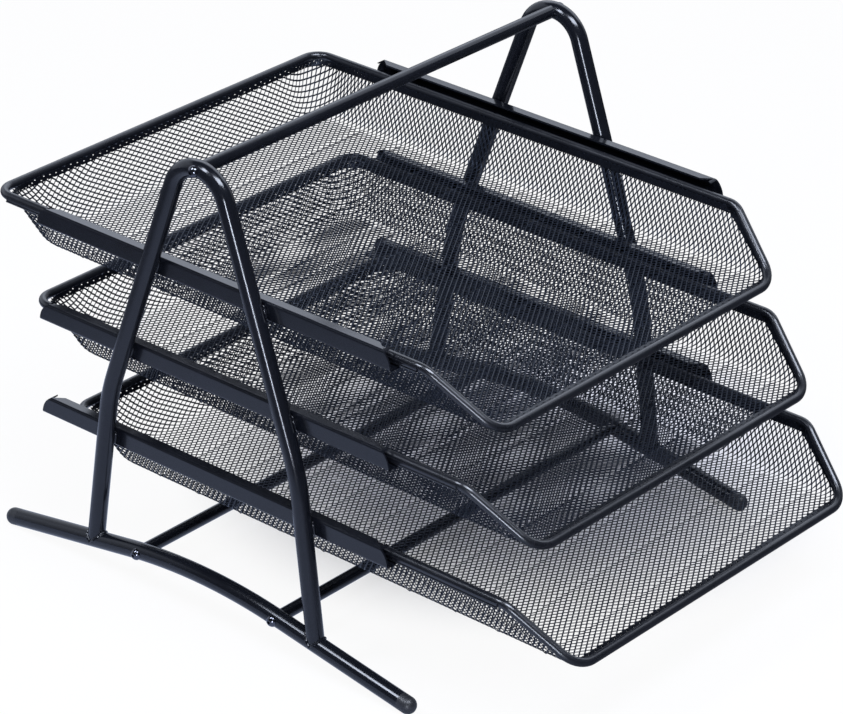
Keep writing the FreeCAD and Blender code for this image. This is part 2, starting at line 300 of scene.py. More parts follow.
@dataclass(frozen=True)
class BlackPlating(Finish):
    """Black zinc plating on a steel screw: dark metal that still throws back sharp highlights."""

    name: str = "black_zinc_plated_steel"
    colour: str = "#5a5b62"
    roughness: float = 0.16
    smoother: float = 0.05
    rougher: float = 0.1
    # The marks of turning are about 0.1 mm apart; they are drawn coarser, to show at all.
    turning_mm: float = 0.35

    def shader(self, tree: bpy.types.NodeTree, place: bpy.types.NodeSocket) -> bpy.types.Node:
        """Build this finish's own nodes.

        Args:
            tree: The node tree that takes them.
            place: The place on the object.

        Returns:
            The shader node.
        """
        film = add_node(
            tree, "ShaderNodeTexNoise",
            {"Scale": 1 / (self.turning_mm * MM), "Detail": 3.0}, {"Vector": place},
        )
        gloss = add_node(
            tree, "ShaderNodeMapRange",
            {"From Min": NOISE_LOW, "From Max": NOISE_HIGH,
             "To Min": self.roughness - self.smoother, "To Max": self.roughness + self.rougher},
            {"Value": film.outputs["Fac"]},
        )
        return add_node(
            tree, "ShaderNodeBsdfPrincipled",
            {"Base Color": linear(self.colour), "Metallic": 1.0}, {"Roughness": gloss.outputs[0]},
        )


FRAME_COAT = PowderCoat()
# The coat on the mesh's strands looks rougher and throws back less light than on the tubes.
MESH_COAT = PowderCoat(
    name="black_powder_coat_on_mesh", colour="#12151c", paler="#1c2029", sheen_tint="#c4d2ec",
    specular=0.24, roughness=0.34, uneven=0.06, grain_mm=0.7, grain_height_mm=0.006, patch_mm=14.0,
)
# The folded hem's coat is darker than the open mesh's: painted shade for the fold, which lies in its own
# shade.
HEM_PAINTED_SHADE_COAT = replace(
    MESH_COAT, name="black_powder_coat_on_hem", colour="#06070a", paler="#0c0d12", specular=0.25,
)
# The highlights on the wires and strips are broader and brighter than on the tubes.
WIRE_COAT = replace(FRAME_COAT, name="black_powder_coat_on_wire", specular=0.75, roughness=0.29)
CAP_PLASTIC = MouldedPlastic()
SCREW_PLATING = BlackPlating()


def bearing(turn: float, rise: float) -> Vector:
    """Give the way from the object to something that stands round it.

    Args:
        turn: Degrees round from -Y towards -X.
        rise: Degrees above the table.

    Returns:
        A vector of length one.
    """
    turn, rise = math.radians(turn), math.radians(rise)
    return Vector((-math.sin(turn) * math.cos(rise), -math.cos(turn) * math.cos(rise), math.sin(rise)))


def joined(parts: list[bmesh.types.BMesh]) -> bmesh.types.BMesh:
    """Join several shapes into one.

    Args:
        parts: The shapes, freed here.

    Returns:
        One bmesh that holds them all, in order.
    """
    whole = bmesh.new()
    mesh = bpy.data.meshes.new("one_part")
    for part in parts:
        part.to_mesh(mesh)
        part.free()
        whole.from_mesh(mesh)
    bpy.data.meshes.remove(mesh)
    return whole


def cut_off(bm: bmesh.types.BMesh, place: Vector, outwards: Vector) -> None:
    """Cut away all that lies past a plane.

    Args:
        bm: The shape.
        place: A point on the plane.
        outwards: The plane's normal, towards what is cleared.
    """
    geom = list(bm.verts) + list(bm.edges) + list(bm.faces)
    bmesh.ops.bisect_plane(bm, geom=geom, plane_co=place, plane_no=outwards, clear_outer=True)


def object_from(
    bm: bmesh.types.BMesh, name: str, material: bpy.types.Material, smooth: bool,
) -> bpy.types.Object:
    """Make a finished piece of a bmesh, with its object at the origin.

    Args:
        bm: The shape in metres, freed here.
        name: The piece's name.
        material: Its finish.
        smooth: Whether its faces are shaded smooth.

    Returns:
        The linked object.
    """
    mesh = bpy.data.meshes.new(name)
    bm.to_mesh(mesh)
    bm.free()
    mesh.polygons.foreach_set("use_smooth", [smooth] * len(mesh.polygons))
    if smooth:
        mesh.set_sharp_from_angle(angle=math.radians(SHARP_ANGLE))
    mesh.materials.append(material)
    piece = bpy.data.objects.new(name, mesh)
    bpy.context.scene.collection.objects.link(piece)
    return piece


class Hem(Enum):
    """The two stretches of the basket's folded edge."""

    RIM = "level, along the back and the sides"
    SLANT = "down the slants and along the lip"


@dataclass
class ExpandedMesh:
    """A flat blank of expanded steel mesh, whose slits opened into diamonds with twisted strands.

    Lengths are in millimetres. The twist is how far a strand's edge rises out of the sheet, and
    the margin is how many diamonds are laid past the blank before it is cut to size.
    """

    long_way: float = 5.08
    short_way: float = 3.08
    strand_width: float = 0.98
    strand_twist: float = 0.5
    sheet: float = 0.3
    margin: int = 4
    level_share: float = 0.05

    def blank(self, left: float, right: float, front: float, back: float) -> bmesh.types.BMesh:
        """Lay out the open diamonds over a rectangle.

        Args:
            left: Lowest X in millimetres.
            right: Highest X.
            front: Lowest Y.
            back: Highest Y.

        Returns:
            A flat net in millimetres, whose height at each strand edge is the twist of the strands.
        """
        across = int(math.ceil((right - left) / self.long_way)) + 1
        along = int(math.ceil((back - front) / self.short_way)) + 1
        cells = across + along + 2 * self.margin
        bm = bmesh.new()
        bmesh.ops.create_grid(bm, x_segments=cells, y_segments=cells, size=cells / 2)
        quarter = Matrix.Rotation(math.radians(45), 4, "Z")
        unit = Matrix.Diagonal((self.long_way / math.sqrt(2), self.short_way / math.sqrt(2), 1, 1))
        first_column = math.floor(left / self.long_way) * self.long_way
        first_row = math.floor(front / self.short_way) * self.short_way
        middle = Matrix.Translation((
            first_column + round(across / 2) * self.long_way,
            first_row + round(along / 2) * self.short_way, 0,
        ))
        bmesh.ops.transform(bm, matrix=middle @ unit @ quarter, verts=bm.verts)
        beyond = []
        for face in bm.faces:
            centre = face.calc_center_median()
            if not (left <= centre.x < right and front <= centre.y < back):
                beyond.append(face)
        bmesh.ops.delete(bm, geom=beyond, context="FACES")
        inset = bmesh.ops.inset_individual(bm, faces=bm.faces, thickness=self.strand_width / 2)
        strands = set(inset["faces"])
        openings = [face for face in bm.faces if face not in strands]
        # The strands twist up behind each opening and down before it; its side tips stay level.
        for opening in openings:
            centre = opening.calc_center_median()
            for corner in opening.verts:
                off = corner.co.y - centre.y
                level = abs(off) < self.short_way * self.level_share
                corner.co.z = 0.0 if level else math.copysign(self.strand_twist, off)
        bmesh.ops.delete(bm, geom=openings, context="FACES")
        return bm


@dataclass
class TrayBasket:
    """The basket of one tray, pressed from a blank of expanded mesh.

    Lengths are in millimetres, from the rim wire's axis: X from the middle, Y from the back wire
    and Z from the level part of the rim. The twists are shares of the floor's twist.
    """

    net: ExpandedMesh
    rim_half_width: float
    rim_length: float
    lip_drop: float
    slant_run: float = 36.2
    lip_inset: float = 14.1
    front_radius: float = 15.0
    front_corner_steps: int = 6
    wall_inset: float = 2.0
    depth: float = 28.5
    wall_lean: float = 10.8
    bend_radius: float = 7.0
    floor_corner_radius: float = 18.0
    rim_corner_radius: float = 8.0
    top_clearance: float = 0.5
    blank_spare: float = 1.15
    over_rim: float = 1.2
    shortest_edge: float = 0.01
    middle_diamonds: int = 10
    drawn_reach: float = 1.65
    drawn_stretch: float = 0.25
    hem_width: float = 3.2
    hem_gap: float = 0.7
    hem_strand: float = 2.36
    side_twist: float = -0.4
    back_twist: float = -1.0
    crease_first: float = 35.0
    crease_pitch: float = 29.5
    crease_count: int = 10
    crease_depth: float = 0.7
    crease_width: float = 1.3

    def __post_init__(self) -> None:
        """Work out the fold lines and the flat length of the walls."""
        self.wall_angle = math.atan2(self.depth, self.wall_lean)
        self.fold_x = self.rim_half_width - self.wall_inset - self.wall_lean
        self.fold_y = -self.wall_inset - self.wall_lean
        self.half_arc = self.bend_radius * self.wall_angle / 2
        self.setback = self.bend_radius * math.tan(self.wall_angle / 2)
        self.wall_length = math.hypot(self.depth, self.wall_lean)
        self.flat_wall = self.wall_length + self.half_arc - self.setback
        self.slant_normal = Vector((0, -self.lip_drop, self.slant_run)).normalized()

    def press(self, bm: bmesh.types.BMesh, lift: float) -> None:
        """Press the flat blank into the basket's shape.

        Args:
            bm: The flat net in millimetres, shaped in place.
            lift: How far the net lies inside the basket's middle surface.
        """
        # Each point of the blank belongs to the back, a side or a rear corner of the floor, and
        # lies so far beyond the fold, and so far round from the middle of the corner.
        flat = np.array([vertex.co for vertex in bm.verts])
        sign = np.where(flat[:, 0] < 0, -1.0, 1.0)
        side = np.abs(flat[:, 0]) - (self.fold_x - self.floor_corner_radius)
        rear = flat[:, 1] - (self.fold_y - self.floor_corner_radius)
        corner = (side > 0) & (rear > 0)
        reach = np.where(corner, np.hypot(side, rear), np.maximum(side, rear))
        beyond = reach - self.floor_corner_radius + self.setback - self.half_arc
        quarter = math.pi / 4
        turned = np.where(
            corner, np.arctan2(rear, side) - quarter, np.where(rear > side, quarter, -quarter),
        )
        straight = np.where(corner, 0.0, np.where(rear > side, -side, rear))
        wall = np.clip(beyond, 0, None)
        perimeter = turned * (self.floor_corner_radius + wall) + straight
        # The corner is drawn: its spare length is taken up over a zone that widens up the wall.
        zone = quarter * (self.floor_corner_radius + wall) + self.drawn_reach * wall + TINY
        share = np.clip(np.abs(perimeter) / zone, 0, 1)
        risen = np.clip(wall / self.wall_length, 0, self.over_rim)
        radius = self.floor_corner_radius + (self.rim_corner_radius - self.floor_corner_radius) * risen
        outwards = self.wall_lean * risen
        excess = (
            quarter * (self.floor_corner_radius + wall - radius)
            - (self.floor_corner_radius + outwards - radius)
        )
        # The shift grows evenly at first and levels off.
        eased = 1.5 * share - 0.5 * share ** 3
        drawn = np.abs(perimeter) - excess * eased
        stretch = 1 + self.drawn_stretch * risen * (1 - share ** 2)
        # The wall's profile: level on the floor, round the bend, and straight up the wall.
        bent = np.clip(beyond * stretch + self.half_arc, 0, 2 * self.half_arc) / self.bend_radius
        up_wall = np.clip(beyond * stretch - self.half_arc, 0, None)
        on_floor = np.clip(-beyond - self.half_arc, 0, None)
        out = (
            self.bend_radius * np.sin(bent) + up_wall * math.cos(self.wall_angle) - self.setback
            - on_floor
        )
        height = self.bend_radius * (1 - np.cos(bent)) + up_wall * math.sin(self.wall_angle)
        # The strands' twist changes over the bend, to what the side or the back wall has.
        on_wall = (1 - np.cos(math.pi * np.clip(bent / self.wall_angle, 0, 1))) / 2
        wall_twist = self.side_twist + (self.back_twist - self.side_twist) * (turned / quarter + 1) / 2
        skin = flat[:, 2] * (1 + (wall_twist - 1) * on_wall) + lift
        out -= skin * np.sin(bent)
        height += skin * np.cos(bent)
        # Seen from above, the profile goes straight along the walls and round the corners.
        centre_x = self.fold_x + outwards - radius
        centre_y = self.fold_y + outwards - radius
        spoke = radius + out - outwards
        angle = quarter + np.sign(perimeter) * np.clip(drawn / radius, 0, quarter)
        run = np.clip(drawn - quarter * radius, 0, None)
        to_rear = perimeter > 0
        x = centre_x + spoke * np.cos(angle) - np.where(to_rear, run, 0)
        y = centre_y + spoke * np.sin(angle) - np.where(to_rear, 0, run)
        floor = beyond < -self.half_arc
        x = np.where(floor, np.abs(flat[:, 0]), x)
        y = np.where(floor, flat[:, 1], y)
        height += self.crease(flat[:, 1]) * np.where(beyond < 0, 1.0, 0.0) - self.depth
        for vertex, place in zip(bm.verts, np.stack([x * sign, y, height], 1)):
            vertex.co = place

    def crease(self, along: np.ndarray) -> np.ndarray:
        """Give how deep the pressed creases make the floor at each place.

        Args:
            along: Distances behind the rim's back wire, all negative.

        Returns:
            Heights, zero between the creases.
        """
        step = (self.fold_y - self.crease_first - along) / self.crease_pitch
        nearest = np.clip(np.round(step), 0, self.crease_count - 1)
        away = (step - nearest) * self.crease_pitch / self.crease_width
        return -self.crease_depth * np.exp(-away ** 2)

    def trim(self, bm: bmesh.types.BMesh) -> None:
        """Cut the net off inside the rim wire: at its top, slants, lip and front corners.

        Args:
            bm: The pressed net in millimetres.
        """
        lip_y = -self.rim_length
        cuts = [
            (Vector((0, 0, -self.top_clearance)), Vector((0, 0, 1))),
            (Vector((0, lip_y, -self.lip_drop)), self.slant_normal),
            (Vector((0, lip_y + self.top_clearance, 0)), Vector((0, -1, 0))),
        ]
        for side in Side:
            knee = Vector((side.value * self.rim_half_width, lip_y + self.slant_run, 0))
            corner_x = side.value * (self.rim_half_width - self.lip_inset)
            corner = Vector((corner_x, lip_y, -self.lip_drop))
            cuts += self.corner_cuts(knee, corner, Vector((-side.value, 0, 0)))
        for place, outwards in cuts:
            cut_off(bm, place, outwards)

    def corner_cuts(
        self, before: Vector, corner: Vector, along_lip: Vector,
    ) -> list[tuple[Vector, Vector]]:
        """Give upright planes round one front corner of the rim.

        Args:
            before: A point up the slant.
            corner: Where the slant meets the lip.
            along_lip: The way along the lip, away from the corner.

        Returns:
            Pairs of a point and an outward direction.
        """
        to_before = (before - corner).normalized()
        half = to_before.angle(along_lip) / 2
        centre = corner + (to_before + along_lip).normalized() * (self.front_radius / math.sin(half))
        start = corner + to_before * (self.front_radius / math.tan(half)) - centre
        end = corner + along_lip * (self.front_radius / math.tan(half)) - centre
        cuts = []
        for step in range(1, self.front_corner_steps):
            spoke = start.slerp(end, step / self.front_corner_steps) * self.front_radius
            tangent = spoke.cross(start.cross(end))
            outwards = Vector((tangent.y, -tangent.x, 0)).normalized()
            if outwards.dot(spoke) < 0:
                outwards.negate()
            cuts.append((centre + spoke, outwards))
        return cuts

    def hem_limit(self, hem: Hem) -> tuple[Vector, Vector]:
        """Give the plane past which one stretch of the hem is left out.

        Args:
            hem: Which edge of the basket is folded over.

        Returns:
            A point and the direction that is cleared.
        """
        if hem is Hem.RIM:
            return Vector((0, 0, -self.top_clearance - self.hem_width)), Vector((0, 0, -1))
        lip = Vector((0, -self.rim_length, -self.lip_drop))
        return lip - self.slant_normal * self.hem_width, -self.slant_normal

    def piece(
        self, name: str, left: float, right: float, hem: Optional[Hem],
    ) -> bpy.types.Object:
        """Build one strip of the basket, or a stretch of the hem that is folded in along its edge.

        Args:
            name: The piece's name.
            left: Lowest X of the strip on the flat blank, in millimetres.
            right: Highest X of the strip.
            hem: Which edge's hem this is, or nothing for the basket itself.

        Returns:
            The piece, in metres, measured from the rim wire's axis.
        """
        back = self.fold_y + self.flat_wall * self.blank_spare
        net = self.net
        if hem:
            net = replace(net, strand_width=self.hem_strand, strand_twist=0.0)
        bm = net.blank(left, right, -self.rim_length, back)
        self.press(bm, self.hem_gap if hem else 0.0)
        if hem:
            cut_off(bm, *self.hem_limit(hem))
        self.trim(bm)
        bmesh.ops.dissolve_degenerate(bm, dist=self.shortest_edge, edges=bm.edges)
        bmesh.ops.scale(bm, vec=(MM, MM, MM), verts=bm.verts)
        # The hem wears the darker coat, whose darkness is painted shade.
        finish = HEM_PAINTED_SHADE_COAT if hem else MESH_COAT
        return object_from(bm, name, finish.material(), smooth=False)


@dataclass
class SlideStrip:
    """The sheet strip rolled round the outside of a rim wire's straight side.

    Lengths are in millimetres, and angles in degrees up from level. A short skirt hangs from the
    roll, and a narrow lip stands out below it.
    """

    roll_radius: float = 2.45
    sheet: float = 0.7
    roll_start: float = 10.0
    roll_end: float = -30.0
    roll_steps: int = 8
    skirt: float = 0.75
    flare: float = 0.02
    lip_out: float = 0.9
    lip_down: float = 0.3
    reach_forward: float = 3.0

    def piece(
        self, name: str, side: Side, wire: Vector, front: float, back: float,
    ) -> bpy.types.Object:
        """Roll one strip.

        Args:
            name: The piece's name.
            side: Which side of the tray it is on.
            wire: A point on the wire's axis, in millimetres.
            front: Lowest Y of the strip in the CAD.
            back: Highest Y.

        Returns:
            The strip in metres.
        """
        bm = bmesh.new()
        start = math.radians(self.roll_start)
        first = bm.verts.new((self.roll_radius * math.cos(start), 0, self.roll_radius * math.sin(start)))
        rolled = bmesh.ops.spin(
            bm, geom=[first], axis=(0, 1, 0), cent=(0, 0, 0), steps=self.roll_steps,
            angle=math.radians(self.roll_start - self.roll_end), use_merge=False,
        )
        last = [part for part in rolled["geom_last"] if isinstance(part, bmesh.types.BMVert)]
        skirt = Vector((self.flare, 0, -self.skirt))
        lip = Vector((self.lip_out, 0, -self.lip_down))
        for step in (skirt, lip):
            last = bmesh.ops.extrude_vert_indiv(bm, verts=last)["verts"]
            bmesh.ops.translate(bm, vec=step, verts=last)
        run = bmesh.ops.extrude_edge_only(bm, edges=list(bm.edges))
        moved = [part for part in run["geom"] if isinstance(part, bmesh.types.BMVert)]
        bmesh.ops.translate(bm, vec=(0, back - front + self.reach_forward, 0), verts=moved)
        bmesh.ops.recalc_face_normals(bm, faces=bm.faces)
        bmesh.ops.solidify(bm, geom=list(bm.faces), thickness=self.sheet)
        bmesh.ops.translate(bm, vec=(0, front - self.reach_forward, 0), verts=bm.verts)
        bmesh.ops.scale(bm, vec=(side.value, 1, 1), verts=bm.verts)
        bmesh.ops.translate(bm, vec=(wire.x, 0, wire.z), verts=bm.verts)
        bmesh.ops.scale(bm, vec=(MM, MM, MM), verts=bm.verts)
        bmesh.ops.recalc_face_normals(bm, faces=bm.faces)
        return object_from(bm, name, WIRE_COAT.material(), smooth=True)


@dataclass
class DomeScrew:
    """A dome-head screw with a hexagon socket, whose head bears on the outside of a tube.

    Lengths are in millimetres. The skirt is the head's straight part, sunk in the tube's side.
    """

    head_radius: float = 3.2
    head_height: float = 2.2
    skirt: float = 1.25
    socket_width: float = 1.7
    socket_mouth: float = 1.1
    socket_ledge: float = 0.05
    socket_depth: float = 0.8
    shank_radius: float = 1.75
    shank_length: float = 19.5
    shank_sides: int = 12
    steps_round: int = 24
    steps_up: int = 6

    def shape(self) -> bmesh.types.BMesh:
        """Turn one screw that points along +Z, with its seat at the origin.

        Returns:
            The screw in millimetres.
        """
        bm = bmesh.new()
        dome = (self.head_radius ** 2 + self.head_height ** 2) / (2 * self.head_height)
        sweep = math.asin(self.head_radius / dome) - math.asin(self.socket_mouth / dome)
        rim = bm.verts.new((self.head_radius, 0, 0))
        bmesh.ops.spin(
            bm, geom=[rim], axis=(0, 1, 0), cent=(0, 0, self.head_height - dome),
            steps=self.steps_up, angle=-sweep, use_merge=False,
        )
        bmesh.ops.spin(
            bm, geom=list(bm.verts) + list(bm.edges), axis=(0, 0, 1), cent=(0, 0, 0),
            steps=self.steps_round, angle=math.tau, use_merge=True,
        )
        bmesh.ops.remove_doubles(bm, verts=bm.verts, dist=SAME_POINT)
        ends = [edge for edge in bm.edges if edge.is_boundary]
        halfway = self.head_height / 2
        mouth = [edge for edge in ends if edge.verts[0].co.z > halfway]
        skirt = [edge for edge in ends if edge.verts[0].co.z < halfway]
        for drop in (self.socket_ledge, self.socket_depth):
            mouth, corners = self.grown(bm, mouth, -drop)
            for corner in corners:
                # How far round each corner is from the middle of its side of the hexagon.
                sector = math.atan2(corner.co.y, corner.co.x) % (math.pi / 3) - math.pi / 6
                out = self.socket_width / 2 / math.cos(sector)
                corner.co.xy = corner.co.xy.normalized() * out
        bmesh.ops.contextual_create(bm, geom=mouth)
        skirt, _ = self.grown(bm, skirt, -self.skirt)
        bmesh.ops.contextual_create(bm, geom=skirt)
        bmesh.ops.recalc_face_normals(bm, faces=bm.faces)
        length = self.shank_length - self.skirt
        middle = Matrix.Translation((0, 0, -self.skirt - length / 2))
        bmesh.ops.create_cone(
            bm, cap_ends=True, segments=self.shank_sides, radius1=self.shank_radius,
            radius2=self.shank_radius, depth=length, matrix=middle,
        )
        return bm

    @staticmethod
    def grown(
        bm: bmesh.types.BMesh, ring: list[bmesh.types.BMEdge], lift: float,
    ) -> tuple[list[bmesh.types.BMEdge], list[bmesh.types.BMVert]]:
        """Extrude a ring of edges along Z.

        Args:
            bm: The screw.
            ring: The edges.
            lift: How far, in millimetres.

        Returns:
            The new ring's edges and corners.
        """
        new = bmesh.ops.extrude_edge_only(bm, edges=ring)["geom"]
        corners = [part for part in new if isinstance(part, bmesh.types.BMVert)]
        bmesh.ops.translate(bm, vec=(0, 0, lift), verts=corners)
        return [part for part in new if isinstance(part, bmesh.types.BMEdge)], corners

    def piece(self, name: str, seats: list[Vector]) -> bpy.types.Object:
        """Drive one screw into each seat.

        Args:
            name: The piece's name.
            seats: Where the heads bear, in millimetres; each points away from the middle along X.

        Returns:
            All the screws as one piece, in metres.
        """
        driven = []
        for seat in seats:
            turn = Matrix.Rotation(math.copysign(math.pi / 2, seat.x), 4, "Y")
            one = self.shape()
            one.transform(Matrix.Scale(MM, 4) @ Matrix.Translation(seat) @ turn)
            driven.append(one)
        return object_from(joined(driven), name, SCREW_PLATING.material(), smooth=True)


@dataclass
class Welds:
    """The weld beads of one side frame.

    A rippled ring goes round each foot, and two short tacks hold each rail to each leg. Lengths
    are in millimetres and angles in degrees; "along" is measured from the frame's middle.
    """

    tube_radius: float = 4.75
    frame_x: float = 139.7
    stand_y: float = 33.5
    foot_along: float = 79.2
    foot_height: float = 14.81
    knee_along: float = 66.37
    knee_height: float = 108.0
    leg_splay: float = 19.5
    runner_slope: float = 9.41
    bead: float = 1.0
    bead_sides: int = 8
    ripples: int = 17
    ripple_depth: float = 0.16
    steps_round: int = 68
    tack: float = 1.15
    tack_sink: float = 0.6
    tack_share: float = 0.36
    tack_sides: int = 10
    tack_rings: int = 8

    def foot(self, along: int) -> bmesh.types.BMesh:
        """Lay the saddle-shaped bead round one foot.

        Args:
            along: -1 for the front foot, 1 for the back foot.

        Returns:
            The bead in millimetres, for the right-hand frame.
        """
        lean = math.atan2(self.foot_along - self.knee_along, self.knee_height - self.foot_height)
        leg = Vector((0, -along * math.sin(lean), math.cos(lean)))
        across = Vector((1, 0, 0))
        beside = leg.cross(across)
        slope = math.radians(self.runner_slope)
        normal = Vector((0, along * math.sin(slope), math.cos(slope)))
        bm = bmesh.new()
        upright = Matrix.Rotation(math.pi / 2, 4, "X")
        stand_up = Matrix.Translation((self.tube_radius, 0, 0)) @ upright
        bmesh.ops.create_circle(bm, segments=self.bead_sides, radius=self.bead, matrix=stand_up)
        bmesh.ops.spin(
            bm, geom=list(bm.verts) + list(bm.edges), axis=(0, 0, 1), cent=(0, 0, 0),
            steps=self.steps_round, angle=math.tau, use_merge=True,
        )
        bmesh.ops.remove_doubles(bm, verts=bm.verts, dist=SAME_POINT)
        # The ring rises and falls to follow the round top of the runner.
        for vertex in bm.verts:
            turn = math.atan2(vertex.co.y, vertex.co.x)
            ring = Vector((math.cos(turn), math.sin(turn), 0)) * self.tube_radius
            swell = 1 + self.ripple_depth * math.cos(self.ripples * turn)
            saddle = abs(math.sin(turn)) - math.sin(turn) * beside.dot(normal)
            rise = self.tube_radius * saddle / leg.dot(normal)
            vertex.co = ring + (vertex.co - ring) * swell + Vector((0, 0, rise))
        place = Vector((self.frame_x, self.stand_y + along * self.foot_along, self.foot_height))
        lean_over = Matrix((across, beside, leg)).transposed().to_4x4()
        bmesh.ops.transform(bm, matrix=Matrix.Translation(place) @ lean_over, verts=bm.verts)
        bmesh.ops.recalc_face_normals(bm, faces=bm.faces)
        return bm

    def tacks(self, along: int, low: float, high: float) -> bmesh.types.BMesh:
        """Lay the two beads that hold one rail to one leg.

        Args:
            along: -1 for the front leg, 1 for the back leg.
            low: Lowest Z of the rail.
            high: Highest Z.

        Returns:
            The beads in millimetres, for the right-hand frame.
        """
        middle = (low + high) / 2
        if middle > self.knee_height:
            slope = math.tan(math.radians(self.leg_splay))
        else:
            slope = (self.foot_along - self.knee_along) / (self.knee_height - self.foot_height)
        leg_along = self.knee_along + (self.knee_height - middle) * slope
        bm = bmesh.new()
        beside = math.sqrt(self.tube_radius ** 2 - (self.tube_radius - self.tack) ** 2)
        lean = Matrix.Rotation(math.atan(slope) * along, 4, "X")
        stretch = Matrix.Diagonal((self.tack, self.tack, (high - low) * self.tack_share, 1))
        for edge in (-1, 1):
            place = Vector((
                self.frame_x - self.tube_radius + self.tack * self.tack_sink,
                self.stand_y + along * leg_along + edge * beside, middle,
            ))
            bmesh.ops.create_uvsphere(
                bm, u_segments=self.tack_sides, v_segments=self.tack_rings, radius=1.0,
                matrix=Matrix.Translation(place) @ lean @ stretch,
            )
        return bm

    def piece(self, name: str, side: Side, rails: list[tuple[float, float]]) -> bpy.types.Object:
        """Lay all the beads of one side frame.

        Args:
            name: The piece's name.
            side: Which side frame.
            rails: Lowest and highest Z of each rail, in millimetres.

        Returns:
            The beads as one piece, in metres.
        """
        beads = [self.foot(along) for along in (-1, 1)]
        beads += [self.tacks(along, low, high) for along in (-1, 1) for low, high in rails]
        bm = joined(beads)
        bmesh.ops.scale(bm, vec=(side.value * MM, MM, MM), verts=bm.verts)
        bmesh.ops.recalc_face_normals(bm, faces=bm.faces)
        return object_from(bm, name, FRAME_COAT.material(), smooth=True)


@dataclass(frozen=True)
class Lamp:
    """One soft box that faces the object.

    Its turn is in degrees round from -Y towards -X, its rise in degrees above the table, its
    width and height in millimetres, and its power in watts.
    """

    name: str
    turn: float
    rise: float
    size: tuple[float, float]
    power: float


